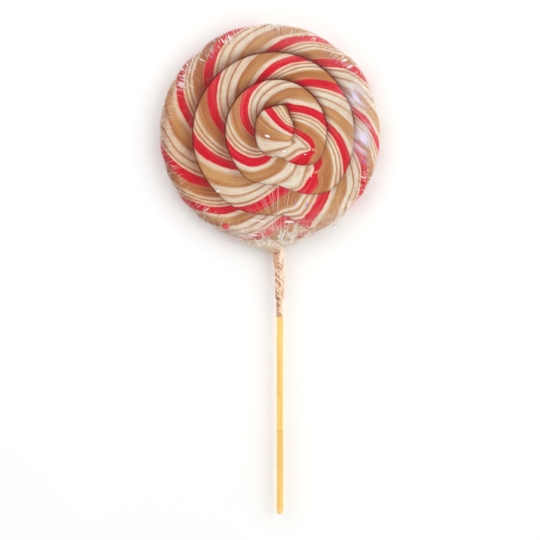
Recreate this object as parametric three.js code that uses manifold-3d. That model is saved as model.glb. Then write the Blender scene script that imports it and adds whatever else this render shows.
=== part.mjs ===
// A large swirl lollipop, lying on its back: a twisted rope of hard candy pressed into a flat
// spiral disc, a bamboo stick pushed into its edge, and the clear wrapper's gathered neck,
// which is twisted round the stick under the disc. Millimetres, +Z up, the stick along -Y.
// The origin is the point that the coil turns about, on the disc's flat underside.
import * as THREE from "three";
import { mergeVertices } from "three/addons/utils/BufferGeometryUtils.js";
import Module from "manifold-3d";

const wasm = await Module();
wasm.setup();

// Driving dimensions.
const DISC_RADIUS = 59.8;
const THICKNESS = 12;
const SEAM_DEPTH = 2.6;
const BACK_SEAM_DEPTH = 1.5;
const STICK_RADIUS = 1.75;
const STICK_X = 4.3;
const STICK_TOP_Y = -10;
const STICK_END_Y = -206.7;
const NECK_END_Y = -89.6;
const GAP = 0.3;

const MID_Z = THICKNESS / 2;
const degrees = Math.PI / 180;

// The seam between the turns is nearly a circle round each turn. It steps out by one rope
// width at the lower right of the disc. A ring is a circle with its middle moved by right
// and up, drawn out by oval, with local bulges or dents. The rim has shallow ones where the
// soft rope was pressed by hand, and a deeper one where its tail ends.
const RINGS = [
  { radius: 12.0, right: 1.3, up: 0.5, oval: -1.6, bulges: [{ out: 2.4, at: 65, over: 13 }] },
  { radius: 27.9, right: 2.2, up: 0.3, oval: -0.5, bulges: [{ out: 1.6, at: 243, over: 15 }] },
  { radius: 43.9, right: 0.9, up: -0.6, oval: -0.2, bulges: [{ out: 0.9, at: 243, over: 15 }] },
  { radius: DISC_RADIUS + 15.9, right: -1.0, up: -0.4, oval: 0, bulges: [] },
];
const RIM_BULGES = [
  { out: -0.6, at: 19, over: 7 },
  { out: 0.7, at: 37, over: 9 },
  { out: -0.7, at: 54, over: 7 },
  { out: 0.5, at: 117, over: 9 },
  { out: -0.5, at: 131, over: 5 },
  { out: 0.5, at: 162, over: 24 },
  { out: -0.5, at: 235, over: 18 },
  { out: -1.5, at: 292, over: 8 },
  { out: -1.0, at: 317, over: 6 },
];
const RIM = { radius: DISC_RADIUS, right: -1.0, up: -0.4, oval: 0, bulges: RIM_BULGES };
const STEPS_OUT = [
  { from: 280, over: 52 },
  { from: 632, over: 50 },
  { from: 996, over: 36 },
];

// The rope is followed by an unwrapped angle in degrees, anticlockwise from the right.
const PER_TURN = 96;
const STEP = 360 / PER_TURN;
const ROPE_START = -25;
const ROPE_ROWS = 277;
const TAIL_LEAST_WIDTH = 2.6;

// Cross-section of the rope: a full rounded top, and a back that is pressed flat.
const TOP_FULLNESS = 2.5;
const TOP_POINTS = 8;
const BACK_POINTS = [-0.86, -0.62, 0, 0.62, 0.86];
const BACK_EDGE = { near: 0.14, rise: 0.4, flatFrom: 0.38 };
const TAIL_FULL_WIDTH = 9;
const RIM_ANGLES = [68, 50, 25, 0, -25, -50, -68];
const RIM_ROUND = 3.4;
const RIM_INSET = RIM_ROUND * (1 - Math.cos(RIM_ANGLES[0] * degrees));
const RIM_JOIN = 0.729;
const CORE_RINGS = 6;
const CORE_CENTRE = { x: 2.7, y: -6.5 };

// Twist of the rope: one turn of its strands takes TWIST_LENGTH, and the strands stand
// a little proud as soft ridges, two between the first pair of red stripes and three after.
const TWIST_LENGTH = 65.8;
const TWIST_ACROSS = 11.8;
const FIRST_RED = 9.0;
const SECOND_RED_SHARE = 0.39;
const RIDGE = 0.22;
const RIM_RIDGE = 0.34;
const RIDGES_BEFORE = 2;
const RIDGES_AFTER = 3;
const RIDGE_FADE_ANGLE = 40;

const smooth = (x) => {
  const c = Math.min(Math.max(x, 0), 1);
  return c * c * (3 - 2 * c);
};

// Radius of a ring at an angle in degrees.
function ringRadius(ring, angle) {
  const a = angle * degrees;
  const shift = ring.right * Math.cos(a) + ring.up * Math.sin(a);
  let radius = ring.radius + shift + ring.oval * Math.cos(2 * a);
  for (const { out, at, over } of ring.bulges) {
    const off = ((((angle - at + 180) % 360) + 360) % 360) - 180;
    radius += out * Math.exp(-((off / over) ** 2));
  }
  return radius;
}

// Radius of the seam on the rope's inner side at an unwrapped angle.
function seamRadius(angle) {
  let radius = ringRadius(RINGS[0], angle);
  STEPS_OUT.forEach((step, turn) => {
    const rise = ringRadius(RINGS[turn + 1], angle) - ringRadius(RINGS[turn], angle);
    radius += rise * smooth((angle - step.from) / step.over);
  });
  return radius;
}

const angleOfRow = (row) => ROPE_START + row * STEP;
const onRim = (row) => row + PER_TURN > ROPE_ROWS;
const rimRadius = (row) => ringRadius(RIM, angleOfRow(row));

function innerRadius(row) {
  if (row === ROPE_ROWS) return rimRadius(row);
  return Math.min(seamRadius(angleOfRow(row)), rimRadius(row) - TAIL_LEAST_WIDTH);
}

const outerRadius = (row) => (onRim(row) ? rimRadius(row) : innerRadius(row + PER_TURN));
const middleRadius = (row) => (innerRadius(row) + outerRadius(row)) / 2;

// Length of the rope's middle line up to each row.
const ropeLength = [0];
for (let row = 1; row <= ROPE_ROWS; row++) {
  const [a, b] = [middleRadius(row - 1), middleRadius(row)];
  const along = ((a + b) / 2) * STEP * degrees;
  ropeLength.push(ropeLength[row - 1] + Math.hypot(along, b - a));
}

// Height of the strands' soft ridges at a row, across from -1 inside to 1 outside.
function ridge(row, across) {
  const turns = (ropeLength[row] + TWIST_ACROSS * across - FIRST_RED) / TWIST_LENGTH;
  const share = turns - Math.floor(turns);
  const wave =
    share < SECOND_RED_SHARE
      ? (share / SECOND_RED_SHARE) * RIDGES_BEFORE
      : ((share - SECOND_RED_SHARE) / (1 - SECOND_RED_SHARE)) * RIDGES_AFTER;
  return RIDGE * Math.cos(2 * Math.PI * wave) * smooth((row * STEP) / RIDGE_FADE_ANGLE);
}

// Share of the rope's half height at a share of its half width, from 1 in the middle
// down to the edge's own share.
function crown(a, edge) {
  const inside = 1 - Math.min(Math.max(a, 0), 1) ** TOP_FULLNESS;
  return edge + (1 - edge) * inside ** (1 / TOP_FULLNESS);
}

const TOP_SEAM_SHARE = 1 - SEAM_DEPTH / MID_Z;

// The rim's rounding takes over from the rope's crown at RIM_JOIN of its half width.
const RIM_HALF_HEIGHT = (MID_Z * crown(RIM_JOIN, 0)) / Math.sin(RIM_ANGLES[0] * degrees);

// Rise of the back off the flat, at a share of the rope's half width from its seam.
function backRise(inset) {
  const { near, rise, flatFrom } = BACK_EDGE;
  if (inset < near) return BACK_SEAM_DEPTH + ((rise - BACK_SEAM_DEPTH) * inset) / near;
  return inset < flatFrom ? (rise * (flatFrom - inset)) / (flatFrom - near) : 0;
}

// Closed mesh of the candy, grown all round by grow, as positions and triangles.
function candyMesh(grow) {
  const positions = [];
  const triangles = [];
  const add = (x, y, z) => positions.push(x, y, z) / 3 - 1;
  const polar = (radius, row, z) => {
    const a = angleOfRow(row) * degrees;
    return add(radius * Math.cos(a), radius * Math.sin(a), z);
  };
  const quad = (a, b, c, d) => {
    if (a !== b && b !== c && c !== a) triangles.push(a, b, c);
    if (a !== c && c !== d && d !== a) triangles.push(a, c, d);
  };

  // Vertices of the seams and of the rounded rim, shared by the turns on both sides.
  const topSeam = [];
  const backSeam = [];
  const rims = new Map();
  for (let row = 0; row < ROPE_ROWS; row++) {
    topSeam.push(polar(innerRadius(row), row, THICKNESS + grow - SEAM_DEPTH));
    backSeam.push(polar(innerRadius(row), row, BACK_SEAM_DEPTH - grow));
    if (row < ROPE_ROWS - PER_TURN) continue;
    const rimPoint = (angle) => {
      const [out, up] = [Math.cos(angle * degrees), Math.sin(angle * degrees)];
      const proud = (ridge(row, 1) * RIM_RIDGE) / RIDGE;
      const radius = rimRadius(row) + grow - RIM_ROUND * (1 - out) + proud * out;
      return polar(radius, row, MID_Z + (RIM_HALF_HEIGHT + grow) * up);
    };
    rims.set(row, RIM_ANGLES.map(rimPoint));
  }
  const tipRim = rims.get(ROPE_ROWS - PER_TURN);
  rims.set(ROPE_ROWS, tipRim);
  topSeam.push(tipRim[0]);
  backSeam.push(tipRim[tipRim.length - 1]);

  // Rows of the rope across its top and its back, from the inner seam to the outer edge.
  const tops = [];
  const backs = [];
  for (let row = 0; row < ROPE_ROWS; row++) {
    const rim = rims.get(row);
    const middle = middleRadius(row);
    const half = (outerRadius(row) - innerRadius(row)) / 2;
    const full = smooth((2 * half) / TAIL_FULL_WIDTH);
    const reach = (across) => (rim && across > 0 ? across * (1 - RIM_INSET / half) : across);
    const top = [topSeam[row]];
    for (let i = 1; i < TOP_POINTS; i++) {
      const cosine = -Math.cos((Math.PI * i) / TOP_POINTS);
      const across = Math.sign(cosine) * Math.abs(cosine) ** (2 / TOP_FULLNESS);
      const toRim = rim && across > 0;
      const height = toRim ? crown(across * RIM_JOIN, 0) : crown(Math.abs(across), TOP_SEAM_SHARE);
      const rise = (height - TOP_SEAM_SHARE) * full;
      const swell = ridge(row, across) * (1 - across ** 4);
      const z = MID_Z + grow + MID_Z * (TOP_SEAM_SHARE + rise) + swell;
      top.push(polar(middle + reach(across) * half, row, z));
    }
    top.push(rim ? rim[0] : topSeam[row + PER_TURN]);
    tops.push(top);
    const back = BACK_POINTS.map((across) =>
      polar(middle + reach(across) * half, row, backRise(1 - Math.abs(across)) - grow),
    );
    const backEnd = rim ? rim[rim.length - 1] : backSeam[row + PER_TURN];
    backs.push([backSeam[row], ...back, backEnd]);
  }
  tops.push(tops[0].map(() => topSeam[ROPE_ROWS]));
  backs.push(backs[0].map(() => backSeam[ROPE_ROWS]));
  const strip = (line, next) => {
    for (let i = 0; i + 1 < line.length; i++) quad(line[i], line[i + 1], next[i + 1], next[i]);
  };
  for (let row = 0; row < ROPE_ROWS; row++) {
    strip(tops[row], tops[row + 1]);
    strip(backs[row + 1], backs[row]);
    if (rims.has(row)) strip(rims.get(row), rims.get(row + 1));
  }

  // The rope's inner end fills the first turn of the seam. Its height follows the
  // distance to that seam, on rings drawn in towards one point.
  const seamPoints = [];
  for (let row = 0; row <= PER_TURN; row++) {
    const a = angleOfRow(row) * degrees;
    seamPoints.push([innerRadius(row) * Math.cos(a), innerRadius(row) * Math.sin(a)]);
  }
  const toSeam = (x, y) => Math.min(...seamPoints.map(([sx, sy]) => Math.hypot(x - sx, y - sy)));
  const halfRope = (outerRadius(0) - innerRadius(0)) / 2;
  const corePatch = (border, heightAt, faceUp) => {
    let outerRing = border;
    for (let ring = CORE_RINGS - 1; ring >= 1; ring--) {
      const share = Math.sin((Math.PI / 2) * (ring / CORE_RINGS));
      const nextRing = border.map((vertex) => {
        const x = CORE_CENTRE.x + (positions[3 * vertex] - CORE_CENTRE.x) * share;
        const y = CORE_CENTRE.y + (positions[3 * vertex + 1] - CORE_CENTRE.y) * share;
        return add(x, y, heightAt(x, y));
      });
      border.forEach((_, i) => {
        const j = (i + 1) % border.length;
        const corners = [nextRing[i], outerRing[i], outerRing[j], nextRing[j]];
        quad(...(faceUp ? corners : corners.reverse()));
      });
      outerRing = nextRing;
    }
    const middle = add(CORE_CENTRE.x, CORE_CENTRE.y, heightAt(CORE_CENTRE.x, CORE_CENTRE.y));
    outerRing.forEach((vertex, i) => {
      const next = outerRing[(i + 1) % outerRing.length];
      triangles.push(middle, ...(faceUp ? [vertex, next] : [next, vertex]));
    });
  };
  const topBorder = [...topSeam.slice(0, PER_TURN), ...[...tops[0]].reverse().slice(0, -1)];
  const topHeight = (x, y) => crown(1 - toSeam(x, y) / halfRope, TOP_SEAM_SHARE);
  corePatch(topBorder, (x, y) => MID_Z + grow + MID_Z * topHeight(x, y), true);
  const backBorder = [...backSeam.slice(0, PER_TURN), ...[...backs[0]].reverse().slice(0, -1)];
  corePatch(backBorder, (x, y) => backRise(toSeam(x, y) / halfRope) - grow, false);
  return { positions, triangles };
}

const solidFromArrays = (positions, triangles) =>
  new wasm.Manifold(
    new wasm.Mesh({
      numProp: 3,
      vertProperties: new Float32Array(positions),
      triVerts: new Uint32Array(triangles),
    }),
  );

function solidFromGeometry(geometry) {
  const bare = geometry.clone();
  bare.deleteAttribute("normal");
  bare.deleteAttribute("uv");
  const merged = mergeVertices(bare, 1e-4);
  return solidFromArrays(merged.attributes.position.array, merged.index.array);
}

function geometryFromSolid(solid) {
  const mesh = solid.getMesh();
  const geometry = new THREE.BufferGeometry();
  geometry.setAttribute("position", new THREE.BufferAttribute(mesh.vertProperties, 3));
  geometry.setIndex(new THREE.BufferAttribute(mesh.triVerts, 1));
  geometry.computeVertexNormals();
  return geometry;
}

// A round hole along the stick's axis, from one Y to another.
function stickHole(radius, fromY, toY) {
  const hole = new THREE.CylinderGeometry(radius, radius, toY - fromY, 16);
  hole.translate(STICK_X, (fromY + toY) / 2, MID_Z);
  return solidFromGeometry(hole);
}

// The candy, with the hole that the stick has pushed into its edge.
function candyGeometry() {
  const { positions, triangles } = candyMesh(0);
  const hole = stickHole(STICK_RADIUS + GAP, -DISC_RADIUS - 10, STICK_TOP_Y + GAP);
  return geometryFromSolid(solidFromArrays(positions, triangles).subtract(hole));
}

// The bamboo stick: blunt where it is in the candy, rounded at its free end.
function stickGeometry() {
  const round = 1.5;
  const arcPoints = 4;
  const profile = [new THREE.Vector2(0, STICK_END_Y)];
  for (let i = 0; i <= arcPoints; i++) {
    const a = (i / arcPoints) * (Math.PI / 2);
    const radius = STICK_RADIUS - round + round * Math.sin(a);
    profile.push(new THREE.Vector2(radius, STICK_END_Y + round * (1 - Math.cos(a))));
  }
  const chamfer = 0.4;
  profile.push(new THREE.Vector2(STICK_RADIUS, STICK_TOP_Y - chamfer));
  profile.push(new THREE.Vector2(STICK_RADIUS - chamfer, STICK_TOP_Y));
  profile.push(new THREE.Vector2(0, STICK_TOP_Y));
  const stick = new THREE.LatheGeometry(profile, 16);
  stick.translate(STICK_X, 0, MID_Z);
  return stick;
}

// The wrapper's neck: flat and wide against the disc's edge, drawn in to a sleeve that is
// twisted round the stick. Each gather is a flat rounded section at one Y.
const GATHER = [
  { y: -50, left: -22, right: 24, half: 3.0 },
  { y: -57, left: -20, right: 18.5, half: 4.2 },
  { y: -59.5, left: -14, right: 11.5, half: 4.6 },
  { y: -61.0, left: -10.8, right: 6.9, half: 4.4 },
  { y: -61.8, left: -7.6, right: 6.5, half: 4.1 },
  { y: -63.0, left: -4.3, right: 6.4, half: 3.7 },
  { y: -64.6, left: -0.3, right: 6.5, half: 3.2 },
];
const SLEEVE = [
  { y: -66, x: 3.55, radius: 3.0 },
  { y: -70, x: 3.55, radius: 2.9 },
  { y: -74, x: 4.35, radius: 2.85 },
  { y: -78, x: 4.4, radius: 2.65 },
  { y: -82, x: 4.35, radius: 2.5 },
  { y: -85.5, x: 4.2, radius: 2.45 },
  { y: NECK_END_Y, x: 4.3, radius: 2.35 },
];
const SLEEVE_STEP = 0.8;
const FOLDS = 4;
const FOLD_HEIGHT = 0.24;
const FOLD_PITCH = 17;
const NECK_SIDES = 24;

function neckGeometry() {
  const rows = GATHER.map(({ y, left, right, half }) => ({
    y,
    x: (left + right) / 2,
    wide: (right - left) / 2,
    half,
    folds: 0,
  }));
  for (let i = 0; i + 1 < SLEEVE.length; i++) {
    const [a, b] = [SLEEVE[i], SLEEVE[i + 1]];
    const parts = Math.round((a.y - b.y) / SLEEVE_STEP);
    const last = i + 2 === SLEEVE.length;
    for (let part = 0; part < parts + (last ? 1 : 0); part++) {
      const share = part / parts;
      const radius = a.radius + (b.radius - a.radius) * share;
      const y = a.y + (b.y - a.y) * share;
      const folds = FOLD_HEIGHT * smooth((SLEEVE[0].y - y) / 3);
      rows.push({ y, x: a.x + (b.x - a.x) * share, wide: radius, half: radius, folds });
    }
  }
  const positions = [];
  const triangles = [];
  for (const { y, x, wide, half, folds } of rows)
    for (let side = 0; side < NECK_SIDES; side++) {
      const a = (side / NECK_SIDES) * 2 * Math.PI;
      const fold = folds * Math.cos(FOLDS * (a - (y / FOLD_PITCH) * 2 * Math.PI));
      positions.push(x + (wide + fold) * Math.cos(a), y, MID_Z + (half + fold) * Math.sin(a));
    }
  for (let row = 0; row + 1 < rows.length; row++)
    for (let side = 0; side < NECK_SIDES; side++) {
      const next = (side + 1) % NECK_SIDES;
      const [a, b] = [row * NECK_SIDES + side, row * NECK_SIDES + next];
      const [c, d] = [a + NECK_SIDES, b + NECK_SIDES];
      triangles.push(a, b, d, a, d, c);
    }
  const cap = (row, flip) => {
    const first = row * NECK_SIDES;
    for (let side = 1; side + 1 < NECK_SIDES; side++) {
      const pair = [first + side, first + side + 1];
      triangles.push(first, ...(flip ? pair.reverse() : pair));
    }
  };
  cap(0, true);
  cap(rows.length - 1, false);
  const clearance = candyMesh(GAP);
  const neck = solidFromArrays(positions, triangles)
    .subtract(solidFromArrays(clearance.positions, clearance.triangles))
    .subtract(stickHole(STICK_RADIUS + GAP / 2, NECK_END_Y - 5, -40));
  const largest = neck.decompose().sort((a, b) => b.volume() - a.volume())[0];
  return geometryFromSolid(largest);
}

function namedMesh(name, geometry, material) {
  const mesh = new THREE.Mesh(geometry, material);
  mesh.name = name;
  return mesh;
}

const candy = new THREE.MeshStandardMaterial({ color: 0xdcb88e, roughness: 0.3, metalness: 0 });
const bamboo = new THREE.MeshStandardMaterial({ color: 0xf3cc7c, roughness: 0.55, metalness: 0 });
const film = new THREE.MeshStandardMaterial({
  color: 0xf3e4d4,
  roughness: 0.12,
  metalness: 0,
  transparent: true,
  opacity: 0.45,
});

const lollipop = new THREE.Group();
lollipop.add(namedMesh("candy_coil", candyGeometry(), candy));
lollipop.add(namedMesh("stick", stickGeometry(), bamboo));
lollipop.add(namedMesh("film_neck", neckGeometry(), film));

export default lollipop;
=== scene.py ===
# %% [markdown]
# # A big swirl lollipop in its clear wrapper
#
# On the real thing a confectioner pulls ropes of red, cream and caramel-brown sugar, lays them
# side by side into one thick rope, twists it, coils it on a warm slab while it is still soft and
# presses it flat. A bamboo stick goes in through the edge. The disc is slipped into clear film,
# which is gathered below it, twisted round the stick and shrunk tight.
#
# The CAD model gives the sizes and the places. It could be shown as it is with better finishes,
# but its coil is too coarse to carry stripes that follow the twist. So each solid is replaced by
# a finer piece in the same place, built from the same few sizes.

import math

import bpy
import mathutils
import numpy as np
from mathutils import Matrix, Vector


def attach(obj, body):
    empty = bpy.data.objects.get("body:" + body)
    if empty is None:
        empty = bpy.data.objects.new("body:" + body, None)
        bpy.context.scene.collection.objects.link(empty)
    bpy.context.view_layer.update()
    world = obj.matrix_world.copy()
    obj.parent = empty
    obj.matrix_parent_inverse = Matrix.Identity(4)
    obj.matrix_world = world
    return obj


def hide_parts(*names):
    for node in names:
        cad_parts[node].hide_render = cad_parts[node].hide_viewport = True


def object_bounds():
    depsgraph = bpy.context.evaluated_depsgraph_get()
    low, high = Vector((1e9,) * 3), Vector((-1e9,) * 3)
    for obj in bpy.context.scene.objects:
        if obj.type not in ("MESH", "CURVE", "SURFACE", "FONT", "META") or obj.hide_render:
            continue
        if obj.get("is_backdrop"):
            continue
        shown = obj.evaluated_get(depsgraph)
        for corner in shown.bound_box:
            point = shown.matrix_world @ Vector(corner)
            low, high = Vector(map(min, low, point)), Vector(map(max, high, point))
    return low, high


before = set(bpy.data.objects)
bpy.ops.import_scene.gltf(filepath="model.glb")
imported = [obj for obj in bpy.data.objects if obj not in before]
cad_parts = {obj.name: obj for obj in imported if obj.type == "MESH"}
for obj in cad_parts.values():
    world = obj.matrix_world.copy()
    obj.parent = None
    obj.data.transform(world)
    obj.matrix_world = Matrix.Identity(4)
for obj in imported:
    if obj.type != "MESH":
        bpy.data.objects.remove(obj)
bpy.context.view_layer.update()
print("CAD nodes:", sorted(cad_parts))

# %% [markdown]
# ## Tools for making pieces
#
# Everything is worked out in millimetres and turned into metres when a mesh is made. A piece is
# a list of points, a list of faces, and values that the finishes read: a map that says where on
# the twisted rope each corner lies, and single numbers for each point, such as the distance to
# the nearest seam. The other way is to paint or unwrap by hand; numbers that come straight from
# the shape always line up with it.

# %% Mesh tools
MM = 0.001


def smooth(x):
    c = np.clip(x, 0, 1)
    return c * c * (3 - 2 * c)


def bell(x):
    """From 1 at zero down to nothing on both sides."""
    return np.exp(-(x**2))


def make_piece(name, points, faces, corner_map=None, values=None):
    """Makes a piece from points in millimetres; values are numbers for each point, by name."""
    mesh = bpy.data.meshes.new(name)
    mesh.from_pydata((np.asarray(points) * MM).tolist(), [], faces)
    if corner_map is not None:
        layer = mesh.uv_layers.new(name="rope")
        layer.data.foreach_set("uv", np.asarray(corner_map, dtype=np.float32).ravel())
    for key, numbers in (values or {}).items():
        attribute = mesh.attributes.new(key, "FLOAT", "POINT")
        attribute.data.foreach_set("value", np.asarray(numbers, dtype=np.float32))
    mesh.shade_smooth()
    piece = bpy.data.objects.new(name, mesh)
    bpy.context.scene.collection.objects.link(piece)
    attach(piece, "root")
    return piece


def grid_faces(ids, closed=False):
    """Quads over a grid of point numbers, rows by columns; closed joins the last column."""
    if closed:
        ids = np.concatenate([ids, ids[:, :1]], axis=1)
    corners = [ids[:-1, :-1], ids[:-1, 1:], ids[1:, 1:], ids[1:, :-1]]
    return np.stack(corners, axis=-1).reshape(-1, 4)


# %% [markdown]
# ## The coil's path
#
# The seam between the turns is nearly a circle for most of each turn and then steps out by one
# rope width in a short stretch at the lower right, as a hand-coiled rope does when each turn
# has to climb over the end of the one before. An even spiral is simpler, but the photograph
# plainly shows three kinks one above the other.

# %% Path of the seams and of the rim
DISC_RADIUS = 59.8
THICKNESS = 12.0
MIDDLE = THICKNESS / 2
# Each ring: radius, shift right, shift up, oval, and local bulges (out, at, over).
RINGS = [
    (12.0, 1.3, 0.5, -1.6, [(2.4, 65, 13)]),
    (27.9, 2.2, 0.3, -0.5, [(1.6, 243, 15)]),
    (43.9, 0.9, -0.6, -0.2, [(0.9, 243, 15)]),
    (DISC_RADIUS + 15.9, -1.0, -0.4, 0, []),
]
RIM_BULGES = [
    (-0.6, 19, 7), (0.7, 37, 9), (-0.7, 54, 7), (0.5, 117, 9), (-0.5, 131, 5), (0.5, 162, 24),
    (-0.5, 235, 18), (-1.5, 292, 8), (-1.0, 317, 6),
]  # fmt: skip
RIM = (DISC_RADIUS, -1.0, -0.4, 0, RIM_BULGES)
STEPS_OUT = [(280, 52), (632, 50), (996, 36)]
ROPE_START = -25
PER_TURN = 384
STEP = 360 / PER_TURN
ROWS = 1108
TAIL_LEAST_WIDTH = 2.6


def ring_radius(ring, angle):
    radius, right, up, oval, bulges = ring
    a = np.radians(angle)
    radius = radius + right * np.cos(a) + up * np.sin(a) + oval * np.cos(2 * a)
    for out, at, over in bulges:
        off = (angle - at + 180) % 360 - 180
        radius = radius + out * bell(off / over)
    return radius


def seam_radius(angle):
    radius = ring_radius(RINGS[0], angle)
    for near, far, (start, over) in zip(RINGS, RINGS[1:], STEPS_OUT):
        rise = ring_radius(far, angle) - ring_radius(near, angle)
        radius = radius + rise * smooth((angle - start) / over)
    return radius


row_angle = ROPE_START + STEP * np.arange(ROWS)
rim_radius = ring_radius(RIM, row_angle)
inner = np.minimum(seam_radius(row_angle), rim_radius - TAIL_LEAST_WIDTH)
outer = rim_radius.copy()
outer[: ROWS - PER_TURN] = inner[PER_TURN:]
middle_line = (inner + outer) / 2
half_width = (outer - inner) / 2
steps = np.hypot(np.diff(middle_line), middle_line[1:] * math.radians(STEP))
rope_length = np.concatenate([[0], np.cumsum(steps)])
print(f"the rope is {rope_length[-1]:.0f} mm long, {2 * half_width.mean():.1f} mm wide")

# %% [markdown]
# ## The twist
#
# The strands run round the rope like the lines on a barber's pole: one full turn in about 66 mm.
# A hand twist is never even, so the places where a red strand crosses the middle of the rope
# are given as angles round the coil, with a smooth curve between them. Across the rope the
# strands lean by a steady amount, since pressing spread the crown out flat. At the right of the
# middle the soft rope was pinched as it was laid, which squeezes a red strand until it nearly
# breaks.

# %% Turns of the twist at each place along the rope
FIRST_RED_AT = [145.5, 311.6, 405.2, 517.3, 627.2, 702.2, 766.2, 849.1, 926.1, 990]
SECOND_RED_AT = [34.2, 233.2, 351.3, 444.4, 563.4, 658.3, 725.6, 796.1, 880.1, 952.9]
SECOND_RED_SHARE = 0.39
EDGE_LEAN = 0.17

# Where a red strand is pinched thin: x, y and reach in millimetres, its turn, how much.
PINCHES = [(21.4, -9.4, 4.5, 0.0, 1.6), (24.0, -21.4, 3.4, 0.0, 2.0), (14.5, -26.5, 5.0, 0.0, 0.7)]
PINCH_SPAN = 0.12

marks = [(ROPE_START, -0.065), (5, 0.17), (ROPE_START + STEP * ROWS, 10.3)]
marks += [(at, i + 1) for i, at in enumerate(FIRST_RED_AT)]
marks += [(at, i + SECOND_RED_SHARE) for i, at in enumerate(SECOND_RED_AT)]
marks = np.array(sorted(marks))


def curve_through(x, y, at):
    """Smooth curve through rising points that never overshoots between two of them."""
    step = np.diff(x)
    rate = np.diff(y) / step
    slope = np.zeros(len(x))
    slope[-1] = rate[-1]
    near, far = 2 * step[1:] + step[:-1], step[1:] + 2 * step[:-1]
    slope[1:-1] = (near + far) / (near / rate[:-1] + far / rate[1:])
    i = np.clip(np.searchsorted(x, at) - 1, 0, len(step) - 1)
    t, h = (at - x[i]) / step[i], step[i]
    ease = t * t * (3 - 2 * t)
    bend = h * t * (1 - t) * (slope[i] * (1 - t) - slope[i + 1] * t)
    return y[i] + (y[i + 1] - y[i]) * ease + bend


mark_length = np.interp(marks[:, 0], row_angle, rope_length)
row_turns = curve_through(mark_length, marks[:, 1], rope_length)


def lean(across):
    """Turns of twist between the middle of the rope and a place across it, -1 to 1."""
    return EDGE_LEAN * np.asarray(across)


def pinched(turns, places):
    """Turns of twist at some places, with the red strand drawn thin near the pinches."""
    for x, y, reach, strand, much in PINCHES:
        near = much * np.exp(-(((places[:, 0] - x) ** 2 + (places[:, 1] - y) ** 2) / reach**2))
        off = (turns - strand + 0.5) % 1 - 0.5
        turns = turns + near * off * bell(off / PINCH_SPAN)
    return turns


# %% [markdown]
# ## The candy coil
#
# The rope was pressed: a full crown on top, a flat back, turns that meet in narrow creases, and
# a rounded rim. It could be a swept tube, but tubes would leave holes between the turns where
# the warm sugar has fused. Here the turns share their seams, so it is one skin like the CAD
# solid, with over ten times as many faces, and the strands stand slightly proud.

# %% Cross-section of the rope
# The candy lies a little inside the disc's outer size, which leaves room for the film.
SKIN = 0.35
HALF_HEIGHT = MIDDLE - SKIN
# Depths of the seams on the shown face, and the direction round the disc where they are deepest.
TOP_SEAM_DEPTHS = 0.7, 1.9
SEAMS_DEEPEST_AT = 110
BACK_SEAM_DEPTH = 1.5
TOP_FULLNESS = 2.5
RIM_ROUND = 3.4
RIM_ANGLES = np.radians(np.linspace(68, -68, 13))
RIM_INSET = RIM_ROUND * (1 - math.cos(RIM_ANGLES[0]))
RIM_JOIN = 0.729
TAIL_FULL_WIDTH = 9
STRAND_RELIEF = 0.11
STRANDS_BEFORE, STRANDS_AFTER = 2, 3
RIM_RELIEF = 2.6
UNEVENNESS = 0.05
# Rise of the back off the flat, at shares of the rope's half width from its seam.
BACK_EDGE = [(0, BACK_SEAM_DEPTH), (0.14, 0.4), (0.38, 0)]
FAR_FROM_SEAM = 9.0

TOP_COLUMNS = 34
cosines = -np.cos(np.linspace(0, np.pi, TOP_COLUMNS + 1))
TOP_ACROSS = np.sign(cosines) * np.abs(cosines) ** (2 / TOP_FULLNESS)
BACK_ACROSS = np.array([-1, -0.95, -0.86, -0.75, -0.62, -0.3, 0, 0.3, 0.62, 0.75, 0.86, 0.95, 1])


def crown(a, edge):
    """Share of the half height at a share a of the half width, down to edge at the seam."""
    return edge + (1 - edge) * (1 - np.clip(a, 0, 1) ** TOP_FULLNESS) ** (1 / TOP_FULLNESS)


def back_rise(inset):
    return np.interp(inset, *zip(*BACK_EDGE))


def strands(turns):
    """How far the strands stand proud: soft ridges between the two red ones of each turn."""
    share = turns % 1
    before = share / SECOND_RED_SHARE * STRANDS_BEFORE
    after = (share - SECOND_RED_SHARE) / (1 - SECOND_RED_SHARE) * STRANDS_AFTER
    return STRAND_RELIEF * np.cos(2 * np.pi * np.where(share < SECOND_RED_SHARE, before, after))


def uneven(x, y):
    """Slow unevenness of a hand-pressed surface, in millimetres."""
    waves = np.sin(0.21 * x + 0.13 * y) + np.sin(0.17 * y - 0.31 * x + 1.7) + np.sin(0.4 * y)
    return UNEVENNESS * waves


# %% Points and faces of the candy
points, seam_gap, painted_shade = [], [], []


def add_points(x, y, z, gap, shade_amount):
    """Adds points to the candy and gives back their numbers in the shape of x."""
    x, y, z, gap, shade_amount = np.broadcast_arrays(x, y, z, gap, shade_amount)
    first = sum(len(p) for p in points)
    points.append(np.stack([x, y, z], axis=-1).reshape(-1, 3))
    seam_gap.append(gap.ravel())
    painted_shade.append(shade_amount.ravel())
    return first + np.arange(x.size).reshape(x.shape)


def towards(angle, aim):
    """From 0 to 1 as an angle round the disc comes to face aim."""
    return 0.5 + 0.5 * np.cos(np.radians(angle - aim))


def seam_share(angle):
    """Height of the seams' bottoms, as a share of the half height: deepest at the top."""
    shallow, deep = TOP_SEAM_DEPTHS
    return 1 - (shallow + (deep - shallow) * towards(angle, SEAMS_DEEPEST_AT)) / HALF_HEIGHT
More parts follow.
